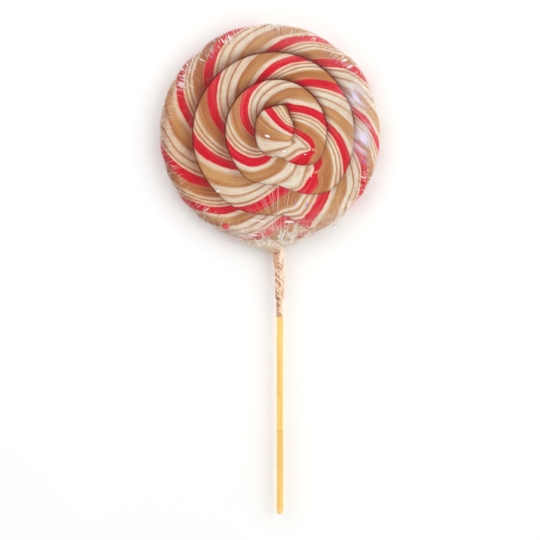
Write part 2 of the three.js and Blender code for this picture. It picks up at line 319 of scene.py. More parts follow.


# Painted shade, darkening the sugar where less light falls: wide beside a turn's inner seam, above
# all at the top and left of the disc, narrow beside its outer seam, and along the rim at the lower
# left. Each aim is the direction round the disc where the shade is deepest or widest.
INNER_SHADE, INNER_SHADE_AIM, INNER_WIDTHS, INNER_WIDTH_AIM = 0.8, 115, (4.5, 11.0), 185
RIM_SHADE, RIM_SHADE_AIM, RIM_WIDTH = 0.5, 205, 4.5
OUTER_SHADE, OUTER_WIDTH = 0.3, 1.4
SEAM_LINE_SHADE = 0.9
RIM_FIRST = ROWS - PER_TURN
on_rim = (np.arange(ROWS) >= RIM_FIRST)[:, None]
seam_shade = (0.25 + 0.75 * smooth(1.7 * towards(row_angle, INNER_SHADE_AIM)))[:, None]
rim_shade = RIM_SHADE * (towards(row_angle, RIM_SHADE_AIM) ** 2)[:, None]
shade_width = np.interp(towards(row_angle, INNER_WIDTH_AIM) ** 2, (0, 1), INNER_WIDTHS)[:, None]
top_edge = seam_share(row_angle)[:, None]


def shade_across(across):
    from_inner, from_outer = (1 + across) * half_width[:, None], (1 - across) * half_width[:, None]
    inner_side = INNER_SHADE * seam_shade * smooth(1 - from_inner / shade_width) ** 1.5
    along_rim = rim_shade * smooth(1 - from_outer / RIM_WIDTH)
    along_seam = OUTER_SHADE * smooth(1 - from_outer / OUTER_WIDTH)
    return np.maximum(inner_side, np.where(on_rim, along_rim, along_seam))


turn_cos, turn_sin = np.cos(np.radians(row_angle)), np.sin(np.radians(row_angle))
seam_x, seam_y, line_shade = inner * turn_cos, inner * turn_sin, SEAM_LINE_SHADE * seam_shade[:, 0]
top_seam = add_points(seam_x, seam_y, MIDDLE + HALF_HEIGHT * top_edge[:, 0], 0, line_shade)
back_seam = add_points(seam_x, seam_y, SKIN + BACK_SEAM_DEPTH, 0, OUTER_SHADE)

rim_rows = np.arange(RIM_FIRST, ROWS)
rim_lean = np.linspace(lean(1), 0.5 - lean(1), len(RIM_ANGLES))
rim_turns = row_turns[rim_rows, None] + rim_lean
rim_top = HALF_HEIGHT * crown(RIM_JOIN, 0) / math.sin(RIM_ANGLES[0])
rim_out = np.cos(RIM_ANGLES)
proud = RIM_RELIEF * strands(rim_turns) * rim_out
radius = rim_radius[rim_rows, None] - SKIN - RIM_ROUND * (1 - rim_out) + proud
rim_ids = add_points(
    radius * turn_cos[rim_rows, None],
    radius * turn_sin[rim_rows, None],
    MIDDLE + rim_top * np.sin(RIM_ANGLES),
    FAR_FROM_SEAM,
    rim_shade[rim_rows],
)
tip_rim = rim_ids[0]
rim_ids = np.vstack([rim_ids, tip_rim])
rim_turns = np.vstack([rim_turns, rim_turns[-1]])


def placed(across):
    """Radius for each row and place across, drawn in at the rim to meet its rounding."""
    reach = np.where(on_rim & (across > 0), 1 - (RIM_INSET + SKIN) / half_width[:, None], 1)
    return middle_line[:, None] + across * reach * half_width[:, None]


def gap_to_seam(across):
    side = np.where(on_rim & (across > 0), FAR_FROM_SEAM, (1 - np.abs(across)) * half_width[:, None])
    return np.minimum(side, FAR_FROM_SEAM)


def outer_points(column, ids):
    """Points at the rope's outer edge: the next turn's seam, or the rim on the last turn."""
    return np.concatenate([ids[PER_TURN:], rim_ids[:-1, column]])


def add_between(across, height, shade_amount, seam_ids, rim_column):
    """Adds a sheet's points between its seam and outer edge, which are already there."""
    across = across[None, 1:-1]
    radius = placed(across)
    x, y = radius * turn_cos[:, None], radius * turn_sin[:, None]
    shade_amount = shade_amount * shade_across(across)
    inside = add_points(x, y, height(x, y, across), gap_to_seam(across), shade_amount)
    edge = outer_points(rim_column, seam_ids)
    return np.concatenate([seam_ids[:, None], inside, edge[:, None]], axis=1)


top_turns = row_turns[:, None] + lean(TOP_ACROSS)[None, :]


def top_height(x, y, across):
    rim_side = on_rim & (across > 0)
    across_crown = np.where(rim_side, across * RIM_JOIN, np.abs(across))
    share = crown(across_crown, np.where(rim_side, 0, top_edge))
    full = smooth(2 * half_width / TAIL_FULL_WIDTH)[:, None]
    share = top_edge + (share - top_edge) * full
    swell = (strands(top_turns[:, 1:-1]) + uneven(x, y)) * (1 - across**4)
    return MIDDLE + HALF_HEIGHT * share + swell


def back_height(x, y, across):
    return SKIN + back_rise(1 - np.abs(across))


top_ids = add_between(TOP_ACROSS, top_height, 1, top_seam, 0)
back_ids = add_between(BACK_ACROSS, back_height, 0.5, back_seam, -1)

candy_faces, candy_map = [], []


def add_sheet(ids, turns, leans, flip=False):
    """Adds a grid of faces; turns and leans are the rope map at each grid point."""
    ids, turns, leans = np.broadcast_arrays(ids, turns, leans)
    corners = grid_faces(np.arange(ids.size).reshape(ids.shape))
    if flip:
        corners = corners[:, ::-1]
    candy_faces.append(ids.ravel()[corners])
    turns = pinched(turns.ravel(), np.concatenate(points)[ids.ravel()])
    candy_map.append(np.stack([turns[corners], leans.ravel()[corners]], axis=-1))


add_sheet(top_ids, top_turns, lean(TOP_ACROSS)[None, :])
back_lean = 0.5 - lean(BACK_ACROSS)
add_sheet(back_ids, row_turns[:, None] + back_lean, back_lean[None, :], flip=True)
add_sheet(rim_ids, rim_turns, rim_lean[None, :])
# The tail closes on the rim where the turn below it comes out to the edge.
for ids, tip, leans, flip in (
    (top_ids[-1], tip_rim[0], lean(TOP_ACROSS), False),
    (back_ids[-1], tip_rim[-1], back_lean, True),
):
    line = np.stack([ids, np.full_like(ids, tip)])
    add_sheet(line, row_turns[-1] + leans[None, :], leans[None, :], flip)

# %% [markdown]
# The rope starts in the middle of the disc, where its end is folded down. There the strands
# fan out from one corner. Their places are given only along the edge of this patch, and every
# point inside takes a weighted mean of the edge (mean value weights), so the stripes bend
# smoothly between the two sides as soft sugar does.

# %% The rope's inner end
CORE_CENTRE = np.array([2.7, -6.5])
CORE_RINGS = 26
# Turns of the twist along the first turn of the seam, by angle.
CORE_MARKS = [
    (-20.6, -0.34), (-9, -0.49), (-5.6, -0.56), (8.5, -0.655), (17, -0.67), (37, -0.83),
    (64, -0.87), (70, -0.825), (91, -0.655), (108, -0.56), (120, -0.49), (168, -0.34),
    (227, -0.255), (236, -0.23), (286, -0.14), (291, -0.11), (299, -0.06), (306, 0), (314, 0.053),
]  # fmt: skip
# The strands change sides at this angle, over this many degrees.
CORE_CORNER, CORNER_SPAN = 65, 20
CORE_SHADE_WIDTH = 2.2


def mean_value_weights(place, edge):
    """Weights of a closed edge's points for each place inside it."""
    to_edge = edge[None] - place[:, None]
    distance = np.linalg.norm(to_edge, axis=2)
    direction = np.arctan2(to_edge[..., 1], to_edge[..., 0])
    angle = (np.roll(direction, -1, axis=1) - direction + np.pi) % (2 * np.pi) - np.pi
    tangent = np.tan(angle / 2)
    weight = (tangent + np.roll(tangent, 1, axis=1)) / np.maximum(distance, 1e-9)
    return weight / weight.sum(axis=1, keepdims=True)


def add_core(seam_ids, end_ids, end_leans, height, back):
    """Fills the first turn of the seam; height gives z from place, gap to the seam and turns."""
    border = np.concatenate([seam_ids[:PER_TURN], end_ids[::-1][:-1]])
    edge = np.concatenate(points)[border][:, :2]
    angle = row_angle[:PER_TURN]
    first = row_turns[0]
    marks = [(ROPE_START, first - lean(1)), *CORE_MARKS, (ROPE_START + 360, first + lean(1))]
    edge_lean = lean(1) * (2 * smooth((angle - CORE_CORNER) / CORNER_SPAN + 0.5) - 1)
    edge_turns = np.interp(angle, *zip(*marks))
    if back:
        edge_turns = edge_turns + 0.5 - 2 * edge_lean
        edge_lean = 0.5 - edge_lean
    edge_lean = np.concatenate([edge_lean, end_leans[::-1][:-1]])
    edge_turns = np.concatenate([edge_turns, first + end_leans[::-1][:-1]])
    shares = np.sin(np.pi / 2 * np.arange(1, CORE_RINGS) / CORE_RINGS)[:, None, None]
    place = (CORE_CENTRE + (edge - CORE_CENTRE)[None] * shares).reshape(-1, 2)
    place = np.vstack([CORE_CENTRE, place])
    weight = mean_value_weights(place, edge)
    turns, leans = weight @ edge_turns, weight @ edge_lean
    gap = np.linalg.norm(place[:, None] - edge[None, :PER_TURN], axis=2).min(axis=1)
    shade_amount = OUTER_SHADE * smooth(1 - gap / CORE_SHADE_WIDTH)
    ids = add_points(place[:, 0], place[:, 1], height(place, gap, turns), gap, shade_amount)
    grids = []
    for inner_part, outside in ((ids, border), (turns, edge_turns), (leans, edge_lean)):
        centre, rings = np.full_like(outside, inner_part[0]), inner_part[1:]
        grid = np.vstack([centre, rings.reshape(-1, len(border)), outside])
        grids.append(np.hstack([grid, grid[:, :1]]))
    add_sheet(*grids, flip=not back)


def core_top(place, gap, turns):
    edge = seam_share(np.degrees(np.arctan2(place[:, 1], place[:, 0])))
    share = crown(1 - gap / half_width[0], edge)
    away = smooth(gap / 4)
    return MIDDLE + HALF_HEIGHT * share + (strands(turns) + uneven(*place.T)) * away


def core_back(place, gap, turns):
    return SKIN + back_rise(gap / half_width[0])


add_core(top_seam, top_ids[0], lean(TOP_ACROSS), core_top, back=False)
add_core(back_seam, back_ids[0], back_lean, core_back, back=True)

# %% The candy piece
corners = np.concatenate(candy_faces)
corner_map = np.concatenate(candy_map)
faces, face_map = [], []
for quad, where in zip(corners.tolist(), corner_map):
    keep = [i for i in range(4) if quad[i] != quad[i - 1]]
    if len(keep) < 3:
        continue
    faces.append([quad[i] for i in keep])
    face_map.extend(where[i] for i in keep)
candy_values = {"seam_gap": np.concatenate(seam_gap), "painted_shade": np.concatenate(painted_shade)}
candy = make_piece("candy_rope", np.concatenate(points), faces, face_map, candy_values)
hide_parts("candy_coil")
print("candy faces:", len(faces))

# %% [markdown]
# ## Finishes
#
# Colours are written as they look on the object, from 0 to 255, and turned into the values that
# the renderer works in. Effects that several finishes use are groups that give out only colours,
# masks and heights, and each finish keeps its own shader.

# %% Node tools
def rgb(*levels):
    """A colour from levels of 0 to 255 as they look on a screen."""
    shares = [level / 255 for level in levels]
    return tuple(v / 12.92 if v < 0.0404 else ((v + 0.055) / 1.055) ** 2.4 for v in shares) + (1,)


class Nodes:
    """Short ways to place and join nodes in one tree."""

    def __init__(self, tree):
        self.tree = tree

    def add(self, kind, inputs=None, **settings):
        node = self.tree.nodes.new(f"ShaderNode{kind}")
        for key, value in settings.items():
            setattr(node, key, value)
        for key, value in (inputs or {}).items():
            self.put(node.inputs[key], value)
        return node

    def put(self, socket, value):
        if isinstance(value, bpy.types.Node):
            value = value.outputs[0]
        if isinstance(value, bpy.types.NodeSocket):
            self.tree.links.new(value, socket)
        else:
            socket.default_value = value

    def math(self, operation, a, b=0.0, c=0.0):
        return self.add("Math", {0: a, 1: b, 2: c}, operation=operation)

    def times(self, a, b):
        return self.math("MULTIPLY", a, b)

    def scaled(self, value, by, plus):
        return self.math("MULTIPLY_ADD", value, by, plus)

    def most(self, first, *others):
        """The greatest of some masks."""
        for other in others:
            first = self.math("MAXIMUM", first, other)
        return first

    def spread(self, value, low, high, to_low=0.0, to_high=1.0):
        """A soft step: to_low where the value is low, to_high where it is high."""
        inputs = {"Value": value, "From Min": low, "From Max": high}
        inputs |= {"To Min": to_low, "To Max": to_high}
        return self.add("MapRange", inputs, interpolation_type="SMOOTHSTEP")

    def vector(self, operation, a, b=(0, 0, 0), c=(0, 0, 0)):
        return self.add("VectorMath", {0: a, 1: b, 2: c}, operation=operation)

    def mix(self, factor, a, b, blend="MIX"):
        node = self.add("Mix", data_type="RGBA", blend_type=blend)
        for index, value in ((0, factor), (6, a), (7, b)):
            self.put(node.inputs[index], value)
        return node.outputs[2]

    def ramp(self, factor, stops):
        node = self.add("ValToRGB", {"Fac": factor})
        elements = node.color_ramp.elements
        while len(elements) < len(stops):
            elements.new(0.5)
        for element, (place, colour) in zip(elements, stops):
            element.position = place
            element.color = colour
        return node.outputs["Color"]

    def noise(self, vector, scale=1.0, detail=2.0, roughness=0.5, output="Fac"):
        inputs = {"Vector": vector, "Scale": scale, "Detail": detail, "Roughness": roughness}
        return self.add("TexNoise", inputs).outputs[output]

    def bump(self, height, strength, distance):
        return self.add("Bump", {"Height": height, "Strength": strength, "Distance": distance})

    def here(self):
        """Where a point lies, in metres."""
        return self.add("TexCoord").outputs["Object"]

    def value(self, name):
        """A number that was set for each point of the piece."""
        return self.add("Attribute", attribute_name=name).outputs["Fac"]

    def laid_along(self, place, turn, lengths, middle=(0, 0, 0)):
        """Place measured from a middle in units of three lengths, the first at turn degrees."""
        settings = {"Vector": place, "Location": middle, "Scale": lengths}
        settings["Rotation"] = (0, 0, math.radians(turn))
        return self.add("Mapping", settings, vector_type="TEXTURE")

    def spot(self, place, shape):
        """Distance from a spot's middle, 1 at its edge; shape as in SMEARS."""
        x, y, long, wide, turn = shape
        near = self.laid_along(place, turn, (long * MM, wide * MM, 1), (x * MM, y * MM, 0))
        flat = self.vector("MULTIPLY", near, (1, 1, 0))
        return self.vector("LENGTH", flat).outputs["Value"]

    def group(self, tree, *inputs):
        return self.add("Group", dict(enumerate(inputs)), node_tree=tree).outputs

    def principled(self, colour, roughness, **more):
        inputs = {"Base Color": colour, "Roughness": roughness, "IOR": 1.5}
        return self.add("BsdfPrincipled", inputs | more)


def new_group(name, inputs, outputs):
    """A shader node group; inputs and outputs are names and types."""
    tree = bpy.data.node_groups.new(name, "ShaderNodeTree")
    for direction, sockets in (("INPUT", inputs), ("OUTPUT", outputs)):
        for label, kind in sockets.items():
            tree.interface.new_socket(label, in_out=direction, socket_type=f"NodeSocket{kind}")
    return tree, Nodes(tree), tree.nodes.new("NodeGroupInput").outputs


def give_out(tree, *values):
    out = tree.nodes.new("NodeGroupOutput")
    for socket, value in zip(out.inputs, values):
        Nodes(tree).put(socket, value)


def new_material(name):
    material = bpy.data.materials.new(name)
    material.use_nodes = True
    material.node_tree.nodes.clear()
    return material, Nodes(material.node_tree)


def cover(pieces, material, surface):
    """Ends a material with its surface shader and lays it on its pieces."""
    nodes = Nodes(material.node_tree)
    nodes.put(nodes.add("OutputMaterial").inputs["Surface"], surface)
    for piece in pieces:
        piece.data.materials.append(material)


# %% [markdown]
# ### Striped sugar
#
# One turn of the twist shows the same row of colours each time. The row is a colour ramp read
# with the rope map: broad red, brown and cream strands with thin lines between them where thin
# sheets of sugar were laid. The edges wander a little, and every strand is drawn into fine
# streaks along its length. In the creases and beside the seams and rim, painted shade makes the
# sugar darker and browner.

# %% Striped sugar
RED, CREAM, PALE = rgb(222, 22, 48), rgb(236, 225, 206), rgb(240, 217, 200)
TAN, CARAMEL, LINE = rgb(213, 168, 116), rgb(200, 138, 88), rgb(202, 152, 106)
ROSY = rgb(212, 138, 110)
STRAND_ROW = [
    (0.0, RED), (0.055, RED), (0.07, ROSY), (0.085, CARAMEL), (0.165, CARAMEL), (0.198, TAN),
    (0.214, CREAM), (0.232, CREAM), (0.246, LINE), (0.258, TAN), (0.27, CREAM), (0.286, CREAM),
    (0.3, ROSY), (0.314, TAN), (0.326, PALE), (0.334, PALE), (0.346, RED), (0.446, RED),
    (0.459, PALE), (0.492, CREAM), (0.534, TAN), (0.61, TAN), (0.67, CARAMEL), (0.702, CREAM),
    (0.762, CREAM), (0.786, LINE), (0.818, CREAM), (0.866, CREAM), (0.892, LINE), (0.915, PALE),
    (0.93, PALE), (0.942, RED),
]  # fmt: skip
# How far the strands' edges stray, in turns: slowly along the rope, and finely.
WANDER, FRAY = 0.04, 0.02

strand_tree, n, given = new_group(
    "Twisted strands", {"Rope map": "Vector"}, {"Colour": "Color", "Height": "Float"}
)
turns, leans, _ = n.add("SeparateXYZ", {0: given[0]}).outputs


def stretched(along_turns, along_lean):
    """The rope map with so many grains in a turn of the twist, and so many in a turn of lean."""
    return n.add("CombineXYZ", {0: n.times(turns, along_turns), 1: n.times(leans, along_lean)})


wander = n.math("SUBTRACT", n.noise(stretched(3.1, 5.0), 1.0, 1.0), 0.5)
fray = n.math("SUBTRACT", n.noise(stretched(34, 30), 1.0, 4.0, 0.6), 0.5)
moved = n.scaled(wander, WANDER, turns)
moved = n.scaled(fray, FRAY, moved)
row = n.ramp(n.math("FRACT", moved), STRAND_ROW)
streaks = n.noise(stretched(80, 3.0), 1.0, 4.0, 0.65)
broad = n.noise(stretched(18, 2.0), 1.0, 1.0)
slow = n.noise(stretched(2.3, 1.5), 1.0, 1.0)
# Only red has next to no green in it, and cream the most, which tells the strands apart.
green = n.add("SeparateColor", {0: row}).outputs[1]
brown = n.times(n.spread(green, 0.62, 0.4), n.spread(green, 0.02, 0.12))
darker = n.mix(n.spread(streaks, 0.48, 0.62, 0.0, 0.45), row, rgb(212, 160, 116), "MULTIPLY")
much = n.times(n.spread(slow, 0.42, 0.62), n.scaled(brown, 0.38, 0.08))
browner = n.mix(much, darker, rgb(204, 146, 100), "MULTIPLY")
thin = n.spread(n.noise(stretched(52, 1.4), 1.0, 2.0), 0.58, 0.66, 0.0, 0.4)
lined = n.mix(n.times(thin, brown), browner, rgb(236, 206, 166))
pink = n.times(n.spread(broad, 0.5, 0.7, 0.0, 0.16), n.spread(green, 0.05, 0.01))
lined = n.mix(pink, lined, rgb(240, 160, 150))
paler = n.mix(n.spread(broad, 0.45, 0.8, 0.0, 0.2), lined, rgb(250, 232, 204), "SOFT_LIGHT")
give_out(strand_tree, paler, n.scaled(streaks, 0.6, n.times(fray, 0.4)))

# Where a strand was pinched through or dragged: x, y, half length, half width, direction.
SMEARS = [
    ((22.6, -9.3, 1.5, 0.8, -10), ROSY),
    ((24.4, -21.2, 2.0, 0.7, 20), ROSY),
    ((-24.9, -50.6, 1.9, 1.7, 0), RED),
]

material, n = new_material("pulled sugar")
strand_colour, strand_height = n.group(strand_tree, n.add("UVMap", uv_map="rope"))
place, gap, shade_amount = n.here(), n.value("seam_gap"), n.value("painted_shade")
# Painted shade in the creases: a thin, ragged, dark reddish-brown line along each seam, strongest
# where the painted shade is deep.
ragged = n.times(gap, n.spread(shade_amount, 0.2, 0.8, 1.2, 0.75))
ragged = n.scaled(n.noise(place, 300, 1.0), 0.6, ragged)
ragged = n.scaled(n.noise(place, 1000, 2.0), 0.3, ragged)
crease = n.times(n.spread(ragged, 0.45, 1.1, 1.0, 0.0), n.spread(shade_amount, 0.1, 0.7, 0.25, 1.0))
crease = n.times(crease, n.spread(n.noise(place, 110, 1.0), 0.35, 0.6, 0.45, 1.0))
blotch = n.noise(place, 160, 3.0, 0.6)
colour = n.mix(n.spread(blotch, 0.45, 0.75, 0.0, 0.3), strand_colour, rgb(214, 176, 140), "MULTIPLY")
# Painted shade: the left of the disc is tinted darker and warmer, as the light comes from the right.
x_here = n.add("SeparateXYZ", {0: place}).outputs[0]
colour = n.mix(n.spread(x_here, 0.0, -0.06, 0.0, 0.6), colour, rgb(238, 206, 178), "MULTIPLY")
# Painted shade: the shade set on each point darkens and browns the sugar beside the seams and along
# the rim.
colour = n.mix(shade_amount, colour, rgb(150, 78, 50), "MULTIPLY")
# The creases' painted shade in dark reddish brown.
colour = n.mix(crease, colour, rgb(116, 18, 4))
for shape, shade in SMEARS:
    reach = n.scaled(n.noise(place, 500, 2.0), 0.5, n.spot(place, shape))
    colour = n.mix(n.spread(reach, 0.9, 1.5, 1.0, 0.0), colour, shade)
grain = n.noise(place, 1300, 3.0)
colour = n.mix(n.spread(grain, 0.55, 0.8, 0.0, 0.05), colour, rgb(250, 240, 225))
bump = n.bump(n.scaled(grain, 0.35, strand_height), 0.25, 0.0004)
roughness = n.scaled(crease, 0.4, n.spread(grain, 0.3, 0.7, 0.3, 0.46))
inside = {"Subsurface Weight": 0.3, "Subsurface Radius": (1.0, 0.4, 0.25), "Subsurface Scale": 0.0012}
sugar = {"Normal": bump, "Specular IOR Level": 0.2} | inside
cover([candy], material, n.principled(colour, roughness, **sugar))
print("sugar finish: one turn of the twist has", len(STRAND_ROW), "colour stops")

# %% [markdown]
# ## The stick
#
# A split and rounded bamboo stick: straight, 3.5 mm thick, blunt in the candy and rounded at its
# free end, with faint rings where the cane's nodes were sanded flat. The CAD node would do at a
# distance, but its sixteen sides show close up.

# %% Stick
STICK_X = 4.3
STICK_RADIUS = 1.75
STICK_TOP, STICK_END = -10.0, -206.7
STICK_ROUND, STICK_CHAMFER = 1.5, 0.4
CANE_NODES = [-141.3, -161.4, -180.1]


def make_tube(name, x, y, z, values):
    """A piece from rows of points round a tube, with both ends shut."""
    places = np.stack([x, np.broadcast_to(y, x.shape), z], axis=-1).reshape(-1, 3)
    ids = np.arange(x.size).reshape(x.shape)
    faces = grid_faces(ids, closed=True).tolist() + [ids[0][::-1].tolist(), ids[-1].tolist()]
    values = {key: np.broadcast_to(value, x.shape).ravel() for key, value in values.items()}
    return make_piece(name, places, faces, values=values)


def round_stick(name, along, sides, radius_at, **values):
    """A tube round the stick's axis; radius_at and each value take y and the angle."""
    y, angle = along[:, None], np.linspace(0, 2 * np.pi, sides, endpoint=False)[None]
    r = radius_at(y, angle)
    values = {key: value_at(y, angle) for key, value_at in values.items()}
    return make_tube(name, STICK_X + r * np.cos(angle), y, MIDDLE + r * np.sin(angle), values)


end_arc = np.linspace(np.pi / 2, 0, 9)
stick_y = np.concatenate(
    [
        [STICK_TOP, STICK_TOP - STICK_CHAMFER],
        np.arange(STICK_TOP - 1.5, STICK_END + STICK_ROUND + 0.5, -1.5),
        STICK_END + STICK_ROUND * (1 - np.cos(end_arc)),
    ]
)


def stick_radius(y, angle):
    left = np.clip(y - STICK_END, 0, STICK_ROUND)
    r = STICK_RADIUS - STICK_ROUND + np.sqrt(STICK_ROUND**2 - (STICK_ROUND - left) ** 2)
    r = np.where(y > STICK_TOP - 0.1, r - STICK_CHAMFER, r)
    for at in CANE_NODES:
        r = r + 0.03 * bell((y - at) / 0.5) - 0.02 * bell((y - at - 1.2) / 0.6)
    return r + 0.012 * np.sin(5 * angle + 0.02 * y) + 0.01 * np.sin(9 * angle + 1 + 0.03 * y)


stick = round_stick("bamboo_stick", stick_y, 48, stick_radius)
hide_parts("stick")

# %% [markdown]
# ### Bamboo
#
# Pale yellow cane with straight fibres. Fine darker fibres run the whole length, each cane node
# leaves a thin brown ring, and below the middle node the cane is a shade deeper. The free end
# is paler where it was rounded on a belt.

# %% Bamboo finish
# Grains of cane in a metre across and along the stick, for the fibres and for slow changes.
FIBRES, CHANGES = (1900, 28, 1900), (120, 22, 120)
DEEPER_FROM, DEEPER_TO = -160.0, -162.0
PALE_END_FROM, PALE_END_TO = STICK_END + 3.6, STICK_END + 2.6

material, n = new_material("bamboo")
place = n.here()
fibres = n.noise(n.add("Mapping", {"Vector": place, "Scale": FIBRES}), 1.0, 3.0, 0.6)
slow = n.noise(n.add("Mapping", {"Vector": place, "Scale": CHANGES}))
y_here = n.add("SeparateXYZ", {0: place}).outputs[1]
cane = [(0.3, rgb(240, 180, 92)), (0.45, rgb(252, 212, 118)), (0.7, rgb(254, 226, 140))]
colour = n.mix(n.spread(slow, 0.35, 0.75, 0.0, 0.35), n.ramp(fibres, cane), rgb(236, 178, 96))
deeper = n.spread(y_here, DEEPER_FROM * MM, DEEPER_TO * MM, 0.0, 0.32)
colour = n.mix(deeper, colour, rgb(232, 176, 92))
for at in CANE_NODES:
    off = n.math("ABSOLUTE", n.math("ADD", y_here, -at * MM))
    ring = n.spread(n.scaled(slow, 0.0004, off), 0.0002, 0.0007, 0.42, 0.0)
    colour = n.mix(ring, colour, rgb(190, 128, 60))
end = n.spread(y_here, PALE_END_FROM * MM, PALE_END_TO * MM, 0.0, 0.5)
colour = n.mix(end, colour, rgb(250, 226, 170))
roughness = n.spread(fibres, 0.3, 0.7, 0.62, 0.48)
cover([stick], material, n.principled(colour, roughness, Normal=n.bump(fibres, 0.35, 0.00015)))
print("stick:", round(STICK_TOP - STICK_END, 1), "mm long")

# %% [markdown]
# ## The film over the disc
#
# The film spans the grooves from crown to crown, goes round the rim and lies flat under the back.
# Where it shrank it is drawn into many short pleats round the rim, and above the stick it is
# gathered into longer folds. It could be thin glass, but bent light through two walls makes the
# candy dark and noisy, so it is one skin that is clear apart from its shine and its creases.

# %% Film's profile
rng = np.random.default_rng(7)
FILM_SIDES = 900
FILM_TOP, FILM_BACK = 12.0, 0.08
# The last turn's crest, in from the rim, and the height that parts the front from the back.
CREST = 7.85
FRONT_ABOVE = 3
MOUTH_X, MOUTH_Y = STICK_X, -60.0
MOUTH_ANGLE = math.radians(270)

top_shares = np.concatenate([np.linspace(0, 0.86, 22)[1:], np.linspace(0.86, 1, 9)[1:]])
film_angle = np.linspace(0, 2 * np.pi, FILM_SIDES, endpoint=False)
film_degrees = np.degrees(film_angle)
rim_here = ring_radius(RIM, film_degrees)


def angle_between(a, b):
    return (a - b + np.pi) % (2 * np.pi) - np.pi


def turned(x, y, aim):
    """How far places lie along a direction and to its left."""
    return x * math.cos(aim) + y * math.sin(aim), y * math.cos(aim) - x * math.sin(aim)


# From the top centre round the rim to the back centre. Each row: share of the crest's radius,
# inset from the rim, height, and how far a pleat stands out and up there.
rows = [(share, 0.0, FILM_TOP, 0.0, 1.0) for share in top_shares]
for a in np.linspace(0, 1, 13)[1:]:
    t = a * RIM_JOIN
    rows.append((1, -CREST + a * (CREST - RIM_INSET), MIDDLE * (1 + crown(t, 0)), t**3, 1 - t**3))
rim_height = MIDDLE * crown(RIM_JOIN, 0) / math.sin(RIM_ANGLES[0])
for a in RIM_ANGLES[1:]:
    out, up = math.cos(a), math.sin(a)
    rows.append((1, -RIM_ROUND * (1 - out), MIDDLE + rim_height * up, out, up))
rows += [(1, -RIM_INSET - 1.2, 0.45, 0.2, -0.5), (1, -RIM_INSET - 2.6, 0.12, 0.0, 0.0)]
rows += [(share, 0.0, FILM_BACK, 0.0, 0.0) for share in (0.86, 0.7, 0.5, 0.3, 0.12)]

share, inset, film_z, go_out, go_up = (c[:, None] for c in np.array(rows).T)
film_r = np.where(share < 1, share * (rim_here - CREST)[None], rim_here[None] + inset)
film_r[len(top_shares) - 1] = rim_here - CREST
front = film_z > FRONT_ABOVE
from_rim = rim_here[None] - film_r + (film_z < FRONT_ABOVE) * 6
x, y = film_r * np.cos(film_angle), film_r * np.sin(film_angle)
print("film profile:", len(rows), "rows from the top centre to the back centre")

# %% Film's pleats
PLEATS, MOUTH_FOLDS = 150, 26
HIGHEST_PLEAT = 0.5

# Short ridges that cross the rim, longer and higher near the mouth.
pleat = np.zeros_like(film_r)
for _ in range(PLEATS):
    at = rng.uniform(0, 2 * np.pi)
    near_mouth = bell(angle_between(at, MOUTH_ANGLE) / 0.45)
    high = rng.uniform(0.08, 0.26) * (1 + 0.6 * near_mouth)
    wide = rng.uniform(0.004, 0.011) * (1 + near_mouth)
    reach = rng.uniform(3.5, 9) + 12 * near_mouth * rng.uniform(0.3, 1)
    slant = rng.uniform(-0.018, 0.018)
    off = angle_between(film_angle[None], at) - slant * from_rim
    pleat = pleat + high * bell(off / wide) * smooth((reach - from_rim) / 3.5)
# Longer folds that fan up from the mouth of the wrapper.
for _ in range(MOUTH_FOLDS):
    start_x = MOUTH_X + rng.uniform(-9, 9)
    aim = math.radians(90 + rng.uniform(-52, 52))
    long = rng.uniform(8, 26)
    along, side = turned(x - start_x, y - MOUTH_Y, aim)
    wide = rng.uniform(0.35, 0.9)
    ridge = bell(side / wide) * smooth((long - along) / (0.5 * long)) * smooth((along + 3) / 3)
    pleat = pleat + rng.uniform(0.08, 0.25) * ridge * front
pleat = np.minimum(pleat, HIGHEST_PLEAT) * (film_z > 0.3)
print(PLEATS, "pleats and", MOUTH_FOLDS, "folds, up to", round(float(pleat.max()), 2), "mm high")

# %% Where the film is white
# Fine white streaks where the film is crinkled, partly its own whitening and partly painted
# highlights where the crinkles catch the light: at, over and reach in from the rim, how much.
CRINKLES_AND_GLINTS = [
    (140, 13, 9.5, 1.0), (71, 12, 7, 0.85), (45, 14, 9, 0.9), (100, 14, 5, 0.6), (168, 14, 5, 0.5),
    (205, 16, 8, 0.3), (232, 16, 10, 0.42), (-28, 12, 9, 0.6), (0, 14, 5, 0.35), (20, 9, 6, 0.5),
    (117, 7, 9, 1.0), (88, 8, 6, 1.0), (150, 5, 14, 0.8),
]  # fmt: skip
RIM_CRINKLE_AND_GLINT = 0.24
# Long streaks that run up from the mouth: degrees to each side, reach, fade, how much.
DRAWN = [(34, 38, 16, 0.6), (62, 17, 9, 0.9)]
# Crumpled and milky beside the mouth: x, half width, upper y, fade, how much.
CRUMPLES = [(10, 17, -43, 13, 1.0), (-9, 14, -46, 10, 0.8), (33, 9, -38, 10, 0.5)]
# Painted soft lilac sheen of light at the right, where the film stands off the groove: x, y, along,
# across.
SHEENS = [(45.6, 19.0, 7.5, 5.4), (48.8, -4.0, 9.0, 4.6)]
# A painted sheen of light over the last turn, like a thin veil, strongest in this direction.
LIT_VEIL_AIM = 80

